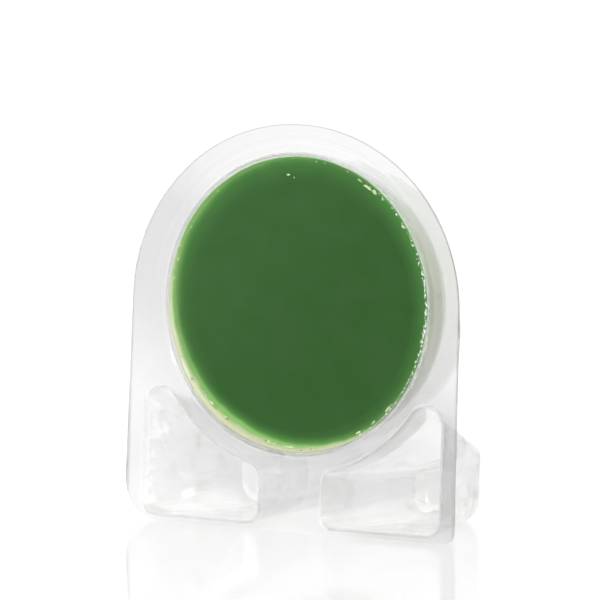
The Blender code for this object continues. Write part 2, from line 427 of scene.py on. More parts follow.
def spaced(points, count):
    """The closed outline through these points, as count points evenly spaced along it."""
    loop = np.array(list(points) + [points[0]])
    reach = np.concatenate(([0.0], np.cumsum(np.linalg.norm(np.diff(loop, axis=0), axis=1))))
    places = np.linspace(0.0, reach[-1], count, endpoint=False)
    return np.column_stack([np.interp(places, reach, loop[:, axis]) for axis in (0, 1)])


def blend_step(low, high, value):
    """0 below low, 1 above high and a smooth rise between them."""
    share = min(1.0, max(0.0, (value - low) / (high - low)))
    return share * share * (3.0 - 2.0 * share)


# ---- meshes and pieces


def join_rows(mesh, rows):
    """Quads between each closed row of vertices and the next."""
    for front, back in zip(rows, rows[1:]):
        for i in range(len(front)):
            mesh.faces.new((front[i - 1], front[i], back[i], back[i - 1]))


def skin(mesh, rings):
    """The rings joined to each other, the last one closed with a fan; gives the first one."""
    rows = [[mesh.verts.new(point) for point in ring] for ring in rings]
    join_rows(mesh, rows)
    last = rows[-1]
    middle = mesh.verts.new(sum((vert.co for vert in last), Vector()) / len(last))
    for i in range(len(last)):
        mesh.faces.new((last[i - 1], last[i], middle))
    return rows[0]


def in_scene(name, data):
    """A new object of this mesh, lamp or camera, in the scene."""
    made = bpy.data.objects.new(name, data)
    bpy.context.scene.collection.objects.link(made)
    return made


def finished(name, mesh, material):
    """An object made of this mesh, which is moved from the sheet's frame to the world."""
    mesh.transform(SHEET_FRAME)
    mesh.materials.append(material)
    return in_scene(name, mesh)


def from_mesh(name, surface, material):
    """A smooth-shaded piece made of this bmesh, which is freed."""
    bmesh.ops.recalc_face_normals(surface, faces=surface.faces)
    mesh = bpy.data.meshes.new(name)
    surface.to_mesh(mesh)
    surface.free()
    mesh.shade_smooth()
    return finished(name, mesh, material)


# ---- the tray's outlines


def flange_outline():
    """The flange's outer edge, counter-clockwise from the right end of the arch."""
    arch = [
        (ARCH_HALF_WIDTH * x, ARCH_HEIGHT * z)
        for x, z in arc((0.0, 0.0), 1.0, 0.0, 180.0, ARCH_STEPS)
    ]
    left_centre = (-BASE_HALF_WIDTH + LEFT_CORNER_RADIUS, -BASE_DROP + LEFT_CORNER_RADIUS)
    right_centre = (BASE_HALF_WIDTH - RIGHT_CORNER_RADIUS, -BASE_DROP + RIGHT_CORNER_RADIUS)
    left_corner = arc(left_centre, LEFT_CORNER_RADIUS, 180.0, 270.0, CORNER_STEPS)
    right_corner = arc(right_centre, RIGHT_CORNER_RADIUS, 270.0, 360.0, CORNER_STEPS)
    points = arch + left_corner + right_corner
    outline = []
    for start, end in zip(points, points[1:] + points[:1]):
        pieces = max(1, round(math.dist(start, end) / FLANGE_GRID))
        for piece in range(pieces):
            share = piece / pieces
            outline.append([start[i] + share * (end[i] - start[i]) for i in (0, 1)])
    return np.array(outline)


def well_radius_at(depth, inset=0.0):
    """Radius of the well's side at this depth, moved inwards by inset."""
    return WELL_RADIUS - depth * math.tan(WELL_DRAFT) - inset / math.cos(WELL_DRAFT)


def well_side(start_depth, inset=0.0):
    """Radius and depth down the well's side and round to its flat floor, moved inwards by inset."""
    centre_depth = WELL_DEPTH - WELL_FLOOR_RADIUS
    centre_radius = well_radius_at(centre_depth) - WELL_FLOOR_RADIUS / math.cos(WELL_DRAFT)
    centre = (centre_radius, centre_depth)
    start_angle = math.degrees(WELL_DRAFT)
    rounding = arc(centre, WELL_FLOOR_RADIUS - inset, start_angle, 90.0, WELL_SIDE_STEPS)
    wall_end = rounding[0][1]
    wall = []
    for step in range(WELL_SIDE_STEPS):
        depth = start_depth + (wall_end - start_depth) * step / WELL_SIDE_STEPS
        wall.append((well_radius_at(depth, inset), depth))
    return wall + rounding


def well_rings():
    """Rings of the well's front face, from its rolled mouth to the middle of its floor."""
    wall_angle = -180.0 + math.degrees(WELL_DRAFT)
    roll = arc((MOUTH_RADIUS, MOUTH_ROLL), MOUTH_ROLL, -90.0, wall_angle, MOUTH_ROLL_STEPS)
    profile = roll + well_side(roll[-1][1] + WALL_START)
    floor_edge = profile[-1][0]
    profile += [(floor_edge * share, WELL_DEPTH) for share in WELL_FLOOR_SHARES]
    rings = []
    for radius, depth in profile:
        ring = []
        for step in range(WELL_STEPS):
            turn = 2.0 * math.pi * step / WELL_STEPS
            around = Vector((math.cos(turn), math.sin(turn), 0.0))
            down = Vector((0.0, 0.0, depth * WELL_RIPPLE_DOWN))
            ripple = noise.noise(around * WELL_RIPPLE_AROUND + down)
            out = radius + WELL_RIPPLE * ripple * blend_step(*WELL_RIPPLE_DEPTHS, depth)
            ring.append((out * around.x, depth, out * around.y))
        rings.append(np.array(ring))
    return rings


def floor_at(depth, thickness):
    """Height, in the sheet's frame, of a foot's inside where its bottom lies on the floor."""
    edge = BASE_DROP * math.cos(LEAN) + SHEET * math.sin(LEAN)
    return (depth * math.sin(LEAN) - edge + thickness) / math.cos(LEAN)


def foot_outline(corners, spread):
    """A foot's cross-section before tapering: five sides, one of them concentric with the well."""
    inner = FOOT_INNER - spread
    outer = FOOT_OUTER + spread
    bottom = FOOT_BOTTOM - spread
    hollow = FOOT_ARC_RADIUS - spread
    radius = {name: value + spread for name, value in corners.items()}

    top_x = outer - radius["top"]
    top_centre = (top_x, -math.sqrt((hollow + radius["top"]) ** 2 - top_x ** 2))
    top_angle = math.degrees(math.atan2(top_centre[1], top_centre[0]))
    inner_x = inner + radius["inner"]
    inner_centre = (inner_x, -math.sqrt((hollow + radius["inner"]) ** 2 - inner_x ** 2))
    inner_angle = math.degrees(math.atan2(inner_centre[1], inner_centre[0]))
    low_inner = (inner + radius["bottom_inner"], bottom + radius["bottom_inner"])
    low_outer = (outer - radius["bottom_outer"], bottom + radius["bottom_outer"])

    points = arc(top_centre, radius["top"], 0.0, top_angle + 180.0, TOP_STEPS)
    points += arc((0.0, 0.0), hollow, top_angle, inner_angle, HOLLOW_STEPS)[1:-1]
    points += arc(inner_centre, radius["inner"], inner_angle + 180.0, 180.0, CORNER_STEPS)
    points += arc(low_inner, radius["bottom_inner"], 180.0, 270.0, CORNER_STEPS)
    points += arc(low_outer, radius["bottom_outer"], 270.0, 360.0, CORNER_STEPS)
    return spaced(points, FOOT_STEPS)


def foot_section(depth, spread=0.0, inset=0.0):
    """The foot's cross-section at this depth, as an array of points in the sheet's frame."""
    share = depth / FOOT_DEPTH
    corners = {
        name: FRONT_CORNERS[name] + share * (REAR_CORNERS[name] - FRONT_CORNERS[name])
        for name in FRONT_CORNERS
    }
    taper = 1.0 - share * (1.0 - TAPER_END)
    mid_x, mid_z = TAPER_CENTRE
    if depth < PAD_START:
        lowest = FOOT_BOTTOM + (floor_at(PAD_START, SHEET) - FOOT_BOTTOM) * depth / PAD_START
    else:
        lowest = floor_at(depth, SHEET)
    drop = (lowest - mid_z) / (FOOT_BOTTOM - mid_z)
    shrink_x = 1.0 - inset / REAR_HALF_SIZE[0]
    shrink_z = 1.0 - inset / REAR_HALF_SIZE[1]
    outline = foot_outline(corners, spread)
    rise = np.where(outline[:, 1] > mid_z, taper, drop)
    across = mid_x + (outline[:, 0] - mid_x) * taper * shrink_x
    up = mid_z + (outline[:, 1] - mid_z) * rise * shrink_z
    return np.column_stack([across, np.full(len(up), depth), up])


def foot_sections():
    """The foot's cross-sections, from its rolled mouth to the middle of its rear end."""
    sections = []
    for angle in ROUNDING_ANGLES:
        turn = math.radians(angle)
        depth = FOOT_LIP_DEPTH * (1.0 - math.cos(turn))
        sections.append(foot_section(depth, spread=FOOT_LIP * (1.0 - math.sin(turn))))
    rear_start = FOOT_DEPTH - REAR_ROUNDING
    for ring in range(1, FOOT_RINGS + 1):
        depth = FOOT_LIP_DEPTH + (rear_start - FOOT_LIP_DEPTH) * ring / FOOT_RINGS
        sections.append(foot_section(depth))
    for angle in ROUNDING_ANGLES[1:]:
        turn = math.radians(angle)
        inset = REAR_ROUNDING * (1.0 - math.cos(turn))
        sections.append(foot_section(rear_start + REAR_ROUNDING * math.sin(turn), inset=inset))
    last = sections[-1]
    middle = last.mean(axis=0)
    for share in REAR_END_SHARES:
        sections.append(middle + (last - middle) * share)
    return sections


# ---- the tray's dents and creases


def crease_height(point, creases):
    """How far the named creases lift the sheet at this point, given in millimetres."""
    height = 0.0
    for start, end, width, rise in creases:
        start = Vector(start)
        along = Vector(end) - start
        share = min(1.0, max(0.0, (point - start).dot(along) / along.length_squared))
        off = (point - start - along * share).length
        ends = blend_step(0.0, CREASE_FADE, share) * blend_step(0.0, CREASE_FADE, 1.0 - share)
        height += rise * ends * math.exp(-0.5 * (off / width) ** 2)
    return height


def dent_height(point, creases):
    """How far a foot's thin wall is pushed in at this point, given in millimetres."""
    slack = blend_step(DENTS_START, DENTS_FULL, point.y)
    dents = BROAD_DENT * noise.noise(point / BROAD_DENT_SIZE + Vector((4.0, 1.0, 7.0)))
    dents += FINE_DENT * noise.noise(point / FINE_DENT_SIZE + Vector((9.0, 2.0, 3.0)))
    near = noise.voronoi(point / RIDGE_SIZE + Vector((2.0, 5.0, 1.0)))[0]
    ridge = RIDGE * math.exp(-(((near[1] - near[0]) / RIDGE_WIDTH) ** 2))
    patch = noise.noise(point / RIDGE_SIZE + Vector((1.0, 8.0, 2.0)))
    where = blend_step(*RIDGE_PATCHES, patch)
    return slack * (dents + ridge * where + crease_height(point, creases))


def bow_at(x, z):
    """How far the flange stands off its plane: a slight bow, least at its bottom edge."""
    wave = BOW_HEIGHT * noise.noise(Vector((x / BOW_SIZE[0], z / BOW_SIZE[1], 3.0)))
    wave += WAVE_HEIGHT * noise.noise(Vector((x / WAVE_SIZE[0], z / WAVE_SIZE[1], 9.0)))
    free = blend_step(0.0, BOW_FREE, z + BASE_DROP)
    return wave * (BOW_ON_FLOOR + (1.0 - BOW_ON_FLOOR) * free)


# ---- the tray


def inside(loop, points):
    """Which of the points lie inside the closed loop, by counting crossings."""
    x = points[:, 0][:, None]
    z = points[:, 1][:, None]
    start_x, start_z = loop.T
    end_x, end_z = np.roll(loop, -1, axis=0).T
    spans = (start_z > z) != (end_z > z)
    slope = (end_x - start_x) / np.where(end_z == start_z, 1e-12, end_z - start_z)
    crosses = spans & (x < start_x + slope * (z - start_z))
    return crosses.sum(axis=1) % 2 == 1


def flange_grid(outline, holes):
    """Points spread over the flange between its outline and its holes, clear of both."""
    across = np.arange(-BASE_HALF_WIDTH, BASE_HALF_WIDTH, FLANGE_GRID)
    up = np.arange(-BASE_DROP, ARCH_HEIGHT, FLANGE_GRID)
    points = []
    for row, z in enumerate(up):
        shift = (row % 2) * 0.5 * FLANGE_GRID
        points += [(x + shift, z) for x in across]
    points = np.array(points)
    keep = inside(outline, points)
    for hole in holes:
        keep &= ~inside(hole, points)
    points = points[keep]
    rims = np.vstack([outline] + holes)
    gaps = np.linalg.norm(points[:, None, :] - rims[None, :, :], axis=2).min(axis=1)
    return points[gaps > GRID_CLEARANCE * FLANGE_GRID]


def fill_flange(mesh, loops):
    """Triangles between the flange's outline, the first loop of vertices, and its holes."""
    rims = [np.array([(vert.co.x, vert.co.z) for vert in loop]) for loop in loops]
    grid = flange_grid(rims[0], rims[1:])
    verts = [vert for loop in loops for vert in loop]
    verts += [mesh.verts.new((x, 0.0, z)) for x, z in grid]
    borders = []
    start = 0
    for loop in loops:
        size = len(loop)
        borders += [(start + i, start + (i + 1) % size) for i in range(size)]
        start += size
    scale = 1.0 / FLANGE_GRID
    flat = [Vector((vert.co.x * scale, vert.co.z * scale)) for vert in verts]
    points, _, faces, origins, _, _ = delaunay_2d_cdt(flat, borders, [], 0, 1e-6)
    middles = [sum((points[i] for i in face), Vector((0.0, 0.0))) / 3.0 for face in faces]
    middles = np.array(middles) / scale
    kept = inside(rims[0], middles)
    for hole in rims[1:]:
        kept &= ~inside(hole, middles)
    for face, keep in zip(faces, kept):
        if keep:
            mesh.faces.new([verts[origins[i][0]] for i in face])


def crumple(mesh, first, creases):
    """Push the foot's walls in and out, its vertices being those from the index first onwards."""
    mesh.normal_update()
    mesh.verts.ensure_lookup_table()
    moves = []
    for vert in mesh.verts[first:]:
        height = MM * dent_height(vert.co / MM, creases)
        moves.append((vert, vert.co + vert.normal * height))
    for vert, place in moves:
        place.z = max(place.z, floor_at(place.y, SHEET))
        place.y = min(place.y, FOOT_DEPTH)
        vert.co = place


def tray_surface():
    """The front face of the whole sheet, as one open surface whose normals face the front."""
    mesh = bmesh.new()
    outline = [mesh.verts.new((x, 0.0, z)) for x, z in flange_outline()]
    mouth = skin(mesh, well_rings())
    right_sections = foot_sections()
    left_sections = [section[::-1] * np.array((-1.0, 1.0, 1.0)) for section in right_sections]
    mouths = [mouth]
    for sections, creases in ((right_sections, RIGHT_CREASES), (left_sections, LEFT_CREASES)):
        first = len(mesh.verts)
        mouths.append(skin(mesh, sections))
        mesh.verts.index_update()
        crumple(mesh, first, creases)
    fill_flange(mesh, [outline] + mouths)
    bmesh.ops.recalc_face_normals(mesh, faces=mesh.faces)
    front_face = min(mesh.faces, key=lambda face: face.calc_center_median().y)
    if front_face.normal.y > 0.0:
        bmesh.ops.reverse_faces(mesh, faces=mesh.faces)
    for vert in mesh.verts:
        fade = 1.0 - blend_step(0.0, BOW_FADE, vert.co.y)
        vert.co.y += bow_at(vert.co.x, vert.co.z) * fade
    return mesh


def in_foot(point):
    """How far into a foot this point lies, from 0 at the flange to 1."""
    outside_well = math.hypot(point.x, point.z) > FOOT_ARC_RADIUS - FOOT_MARGIN
    if outside_well and point.z < 0.0:
        return blend_step(*FOOT_THINNING, point.y)
    return 0.0


def make_tray(material):
    """The clear sheet: its front face thickened backwards, and thinner in the drawn feet."""
    surface = tray_surface()
    mesh = bpy.data.meshes.new("formed_tray_surface")
    surface.to_mesh(mesh)
    surface.free()
    draft = in_scene("formed_tray_draft", mesh)
    group = draft.vertex_groups.new(name="sheet_thickness")
    for vert in mesh.vertices:
        group.add([vert.index], 1.0 - in_foot(vert.co), "REPLACE")
    thickness = draft.modifiers.new("sheet_thickness", "SOLIDIFY")
    thickness.thickness = SHEET
    thickness.offset = -1.0
    thickness.vertex_group = group.name
    thickness.thickness_vertex_group = FOOT_SHEET / SHEET
    bpy.context.view_layer.update()
    evaluated = draft.evaluated_get(bpy.context.evaluated_depsgraph_get())
    solid = bpy.data.meshes.new_from_object(evaluated)
    solid.name = "formed_tray"
    bpy.data.objects.remove(draft)
    solid.shade_smooth()
    solid.set_sharp_from_angle(angle=SHARP_ANGLE)
    return finished("formed_tray", solid, material)


# ---- the soap


def meniscus_at(turn):
    """How far the soap's rim climbs the wall at this turn, as a share of its rise."""
    around = Vector((math.cos(turn), math.sin(turn), 0.0))
    slow = noise.noise(around * CLIMB_SLOW_SCALE + Vector((0.0, 0.0, 5.0)))
    quick = noise.noise(around * CLIMB_QUICK_SCALE + Vector((0.0, 0.0, 2.0)))
    share = CLIMB_MEAN + CLIMB_SLOW * slow + CLIMB_QUICK * quick
    least, most = CLIMB_LIMITS
    return min(most, max(least, share))


def face_depth(radius, turn):
    """Depth of the soap's poured face at this place."""
    around = Vector((radius * math.cos(turn), radius * math.sin(turn), 0.0))
    sink = FACE_SINK * (1.0 - (radius / WELL_RADIUS) ** 2)
    wave = FACE_WAVE * noise.noise(around / FACE_WAVE_SIZE + Vector((3.0, 3.0, 1.0)))
    edge = well_radius_at(FACE_DEPTH, PUCK_GAP)
    climb = blend_step(edge - MENISCUS_WIDTH, edge, radius) ** 2
    return FACE_DEPTH + sink + wave - MENISCUS_RISE * climb * meniscus_at(turn)


def soap_rings():
    """Rings of the puck: out over its face, over the rim and down its side to its back."""
    edge = well_radius_at(FACE_DEPTH, PUCK_GAP)
    radii = list(np.linspace(*FACE_SHARES) * edge) + list(np.linspace(*EDGE_SHARES) * edge)
    side = well_side(FACE_DEPTH + WALL_START, PUCK_GAP)
    back_edge = side[-1][0]
    back = [(back_edge * share, WELL_DEPTH - PUCK_GAP) for share in BACK_SHARES]
    rings = [[] for _ in range(len(radii) + 1 + len(side) + len(back))]
    for step in range(WELL_STEPS):
        turn = 2.0 * math.pi * step / WELL_STEPS
        rim_depth = face_depth(edge, turn) + RIM_ROUNDING
        points = [(radius, face_depth(radius, turn)) for radius in radii]
        points.append((well_radius_at(rim_depth, PUCK_GAP), rim_depth))
        points += side + back
        for ring, (radius, depth) in zip(rings, points):
            ring.append((radius * math.cos(turn), depth, radius * math.sin(turn)))
    return rings


def make_soap(material):
    """The soap cake, a turned solid with a poured face that climbs the wall at its rim."""
    surface = bmesh.new()
    rings = soap_rings()
    front = skin(surface, rings)
    middle = surface.verts.new((0.0, face_depth(0.0, 0.0), 0.0))
    for i in range(len(front)):
        surface.faces.new((front[i], front[i - 1], middle))
    return from_mesh("soap_cake", surface, material)


def on_face(radius, turn, lift):
    """The place this far above the soap's face, kept clear of the well's wall."""
    edge = well_radius_at(FACE_DEPTH, PUCK_GAP) - WALL_CLEARANCE
    radius = min(radius, edge)
    depth = face_depth(radius, turn) - lift
    return Vector((radius * math.cos(turn), depth, radius * math.sin(turn)))


def add_chip(mesh, turn, radius, length, width, height, chance):
    """One ragged flat chip lying on the soap near its rim."""
    reach = [1.0 + CHIP_RAGGEDNESS * chance.uniform(-1.0, 1.0) for _ in range(CHIP_POINTS)]
    rows = []
    shoulder, shoulder_lift = CHIP_SHOULDER
    levels = ((1.0, -CHIP_SINK), (shoulder, shoulder_lift * height), (CHIP_TOP, height))
    for share, lift in levels:
        row = []
        for point, far in enumerate(reach):
            angle = 2.0 * math.pi * point / CHIP_POINTS
            along = 0.5 * length * far * share * math.cos(angle)
            out = 0.5 * width * far * share * math.sin(angle)
            row.append(mesh.verts.new(on_face(radius + out, turn + along / radius, lift)))
        rows.append(row)
    join_rows(mesh, rows)
    mesh.faces.new(rows[-1])
    mesh.faces.new(rows[0][::-1])


def make_chips(material):
    """Chips and crumbs of soap left round the rim when it was poured and cut off."""
    chance = random.Random(CHIP_SEED)
    surface = bmesh.new()
    for turn, *sizes in CHIPS:
        radius, length, width, height = (size * MM for size in sizes)
        add_chip(surface, math.radians(turn), radius, length, width, height, chance)
    for _ in range(SMALL_CHIPS):
        turn = math.radians(chance.gauss(*SMALL_CHIP_TURNS))
        length = chance.uniform(*SMALL_CHIP_LENGTHS) * MM
        width = chance.uniform(*SMALL_CHIP_WIDTHS) * MM
        radius = chance.uniform(*SMALL_CHIP_RADII) * MM
        add_chip(surface, turn, radius, length, width, SMALL_CHIP_HEIGHT, chance)
    return from_mesh("rim_chips", surface, material)


def make_bubbles(material):
    """Small bubbles caught under the mouth's roll, most of them on the right."""
    chance = random.Random(BUBBLE_SEED)
    surface = bmesh.new()
    for _ in range(BUBBLES):
        turn = math.radians(chance.gauss(*BUBBLE_TURNS))
        size = chance.uniform(*BUBBLE_SIZES) * MM
        place = on_face(chance.uniform(*BUBBLE_RADII) * MM, turn, BUBBLE_LIFT * size)
        length = chance.uniform(*BUBBLE_STRETCH)
        stretch = Matrix.Diagonal((1.0, BUBBLE_FLATTENING, length, 1.0))
        matrix = Matrix.Translation(place) @ Matrix.Rotation(-turn, 4, "Y") @ stretch
        bmesh.ops.create_icosphere(surface, subdivisions=2, radius=size, matrix=matrix)
    return from_mesh("rim_bubbles", surface, material)


# ---- materials


# The Mix node has sockets of every data type under the same names, so its colours go by number
COLOUR_A = 6
COLOUR_B = 7
MIXED_COLOUR = 2


def add(tree, kind, **settings):
    """A new node with these properties set."""
    made = tree.nodes.new(kind)
    for name, value in settings.items():
        setattr(made, name, value)
    return made


def noise_node(tree, place, scale, detail=3.0, stretch=None):
    """A noise texture over the sheet's frame; its scale is about its features in a metre."""
    texture = add(tree, "ShaderNodeTexNoise")
    texture.inputs["Scale"].default_value = scale
    texture.inputs["Detail"].default_value = detail
    if stretch:
        mapping = add(tree, "ShaderNodeMapping")
        mapping.inputs["Scale"].default_value = stretch
        tree.links.new(place, mapping.inputs["Vector"])
        place = mapping.outputs["Vector"]
    tree.links.new(place, texture.inputs["Vector"])
    return texture.outputs["Fac"]


def ranged(tree, value, low, high, to_low, to_high, kind="SMOOTHSTEP"):
    """The value, mapped from one range to another and held inside it."""
    made = add(tree, "ShaderNodeMapRange", interpolation_type=kind)
    made.inputs["From Min"].default_value = low
    made.inputs["From Max"].default_value = high
    made.inputs["To Min"].default_value = to_low
    made.inputs["To Max"].default_value = to_high
    tree.links.new(value, made.inputs["Value"])
    return made.outputs["Result"]


def math_node(tree, operation, first, second):
    """The sum, product or other combination of two values, each a socket or a number."""
    made = add(tree, "ShaderNodeMath", operation=operation)
    for socket, value in zip(made.inputs, (first, second)):
        if isinstance(value, float):
            socket.default_value = value
        else:
            tree.links.new(value, socket)
    return made.outputs["Value"]


def product(tree, first, *others):
    """The product of several values, the first one a socket."""
    for other in others:
        first = math_node(tree, "MULTIPLY", first, other)
    return first


def vector_node(tree, operation, first, *constants):
    """Vector maths on a socket and constants; a length and a dot product give a number."""
    made = add(tree, "ShaderNodeVectorMath", operation=operation)
    tree.links.new(first, made.inputs[0])
    for socket, constant in zip(made.inputs[1:], constants):
        socket.default_value = constant
    return made.outputs["Value" if operation in ("LENGTH", "DOT_PRODUCT") else "Vector"]


def split(tree, place):
    """The X, Y and Z of this place."""
    parts = add(tree, "ShaderNodeSeparateXYZ")
    tree.links.new(place, parts.inputs["Vector"])
    return parts.outputs["X"], parts.outputs["Y"], parts.outputs["Z"]


def rim_share(tree, place, wobble, centre, low, high):
    """0 to 1 as the distance from this centre, over the soap's face, goes from low to high."""
    flat = vector_node(tree, "MULTIPLY_ADD", place, (1.0, 0.0, 1.0), (-centre[0], 0.0, -centre[1]))
    reach = math_node(tree, "ADD", vector_node(tree, "LENGTH", flat), wobble)
    return ranged(tree, reach, low, high, 0.0, 1.0, "LINEAR")


def ramp(tree, value, stops):
    """A colour ramp through (place, colour) stops."""
    made = add(tree, "ShaderNodeValToRGB")
    elements = made.color_ramp.elements
    while len(elements) < len(stops):
        elements.new(0.5)
    for element, (place, colour) in zip(elements, stops):
        element.position = place
        element.color = (*colour, 1.0)
    tree.links.new(value, made.inputs["Fac"])
    return made.outputs["Color"]


def mixed(tree, share, first, second):
    """The first colour, a socket, with this share of the second one, a constant."""
    made = add(tree, "ShaderNodeMix", data_type="RGBA")
    tree.links.new(share, made.inputs["Factor"])
    tree.links.new(first, made.inputs[COLOUR_A])
    made.inputs[COLOUR_B].default_value = (*second, 1.0)
    return made.outputs[MIXED_COLOUR]


def bump(tree, height, distance, strength=1.0, under=None):
    """A bump from this height, over another one if under is given."""
    made = add(tree, "ShaderNodeBump")
    made.inputs["Strength"].default_value = strength
    made.inputs["Distance"].default_value = distance
    tree.links.new(height, made.inputs["Height"])
    if under:
        tree.links.new(under, made.inputs["Normal"])
    return made.outputs["Normal"]


def new_material(name):
    """A node material, with its tree, its Principled shader, its output and its place socket.

    The place is the point in the sheet's frame, which the piece keeps as it moves with its body.
    """
    material = bpy.data.materials.new(name)
    material.use_nodes = True
    tree = material.node_tree
    shader = tree.nodes["Principled BSDF"]
    output = tree.nodes["Material Output"]
    upright = add(tree, "ShaderNodeMapping", vector_type="TEXTURE")
    upright.inputs["Location"].default_value = SHEET_FRAME.translation
    upright.inputs["Rotation"].default_value = SHEET_FRAME.to_euler()
    tree.links.new(add(tree, "ShaderNodeTexCoord").outputs["Object"], upright.inputs["Vector"])
    return material, tree, shader, output, upright.outputs["Vector"]


def height_tint_and_shade(tree, place, x, z):
    """The sheet's grey with painted shade, which changes with height, with a slant to the right and
    slow clouds.
    """
    cloud = ranged(tree, noise_node(tree, place, *CLOUD_NOISE), *CLOUD_RANGE)
    height = math_node(tree, "ADD", z, cloud)
    height = math_node(tree, "ADD", height, product(tree, x, SHADE_SLANT))
    share = ranged(tree, height, SHADE_LOW, SHADE_HIGH, 0.0, 1.0, "LINEAR")
    return ramp(tree, share, SHEET_TINTS_AND_SHADE)


def rear_foot_shade_share(tree, x, y):
    """Where painted shade darkens the sheet: the inner half of the right foot's rear end."""
    rear = ranged(tree, y, *REAR_SHADE_DEPTH)
    inner_half = ranged(tree, x, *REAR_SHADE_INNER_HALF)
    right_foot = ranged(tree, x, *REAR_SHADE_RIGHT_FOOT)
    return product(tree, rear, inner_half, right_foot)


def film_share(tree, place, x, y, z, smudge):
    """Where a film of soap lies on the well's wall: on its right, least at the top and bottom."""
    wobble = product(tree, smudge, FILM_WOBBLE)
    wall = rim_share(tree, place, wobble, MOUTH_CENTRE, *FILM_WALL)
    behind_mouth = ranged(tree, y, *FILM_DEPTH)
    right = ranged(tree, x, *FILM_RIGHT)
    lower = ranged(tree, z, *FILM_LOWER)
    higher = ranged(tree, z, *FILM_HIGHER)
    return product(tree, wall, behind_mouth, right, lower, higher)


def cut_edge_share(tree, place):
    """Where painted shade lies along the flange's cut edge: round its arch, and straight down both
    sides below it.
    """
    upper = vector_node(tree, "MAXIMUM", place, (-1.0, -1.0, 0.0))
    outline = (1.0 / ARCH_HALF_WIDTH, 0.0, 1.0 / ARCH_HEIGHT)
    outward = vector_node(tree, "LENGTH", vector_node(tree, "MULTIPLY", upper, outline))
    return ranged(tree, outward, *CUT_EDGE)


def sheet_colour(tree, place, x, y, z, drawn, smudge):
    """The tint that light takes up as it enters or leaves the sheet, with painted shade over it by
    height, at the right foot's rear end and along the cut edge.
    """
    # Painted shade: the sheet darker through its lower middle heights, where shade is seen through
    # it
    colour = height_tint_and_shade(tree, place, x, z)
    colour = mixed(tree, product(tree, drawn, DRAWN_SHARE), colour, DRAWN_TINT)
    stain = ranged(tree, noise_node(tree, place, *STAIN_NOISE), *STAIN_RANGE)
    colour = mixed(tree, product(tree, stain, drawn), colour, STAIN_TINT)
    # Painted shade on the right foot's rear end
    colour = mixed(tree, rear_foot_shade_share(tree, x, y), colour, REAR_FOOT_SHADE)
    colour = mixed(tree, film_share(tree, place, x, y, z, smudge), colour, SOAP_FILM_TINT)
    # Painted shade along the flange's cut edge
    return mixed(tree, cut_edge_share(tree, place), colour, CUT_EDGE_SHADE)


def sheet_bump(tree, place, marks):
    """A slow ripple, a bead round the mouth, and draw marks."""
    wavy = bump(tree, noise_node(tree, place, *RIPPLE_NOISE), RIPPLE_BUMP)
    inner_step = rim_share(tree, place, 0.0, MOUTH_CENTRE, *BEAD_INNER)
    outer_step = rim_share(tree, place, 0.0, MOUTH_CENTRE, *BEAD_OUTER)
    bead = math_node(tree, "SUBTRACT", inner_step, outer_step)
    return bump(tree, marks, MARKS_BUMP, under=bump(tree, bead, BEAD_BUMP, under=wavy))


def transparent(tree, colour):
    """A shader that lets light straight through, in this colour."""
    shader = add(tree, "ShaderNodeBsdfTransparent")
    shader.inputs["Color"].default_value = (*colour, 1.0)
    return shader.outputs["BSDF"]


def shader_mix(tree, share, first, second):
    """The first shader with this share, a socket or a number, of the second one."""
    made = add(tree, "ShaderNodeMixShader")
    if isinstance(share, float):
        made.inputs["Fac"].default_value = share
    else:
        tree.links.new(share, made.inputs["Fac"])
    tree.links.new(first, made.inputs[1])
    tree.links.new(second, made.inputs[2])
    return made.outputs["Shader"]


def clear_sheet_material():
    """Clear PET: glossy and faintly grey, with draw marks, smudges and painted shade.

    Part of the light goes straight on through it, and lamps shine through it without a shadow.
    """
    material, tree, shader, output, place = new_material("clear_pet_sheet")
    x, y, z = split(tree, place)
    drawn = ranged(tree, y, *DRAWN_DEPTH)
    smudge = noise_node(tree, place, *SMUDGE_NOISE)
    streak = noise_node(tree, place, *STREAK_NOISE, stretch=STREAK_STRETCH)
    haze = ranged(tree, smudge, *HAZE_RANGE)
    drawn_haze = product(tree, ranged(tree, streak, *DRAWN_HAZE_RANGE), drawn)

    colour = sheet_colour(tree, place, x, y, z, drawn, smudge)
    normal = sheet_bump(tree, place, product(tree, streak, drawn))
    shader.inputs["IOR"].default_value = SHEET_IOR
    shader.inputs["Transmission Weight"].default_value = 1.0
    tree.links.new(colour, shader.inputs["Base Color"])
    tree.links.new(math_node(tree, "ADD", haze, drawn_haze), shader.inputs["Roughness"])
    tree.links.new(normal, shader.inputs["Normal"])

    straight = transparent(tree, STRAIGHT_TINT)
    sheet = shader_mix(tree, THIN_SHARE, shader.outputs["BSDF"], straight)
    in_shadow = add(tree, "ShaderNodeLightPath").outputs["Is Shadow Ray"]
    lamplit = shader_mix(tree, in_shadow, sheet, transparent(tree, LAMPLIGHT_TINT))
    tree.links.new(lamplit, output.inputs["Surface"])
    return material


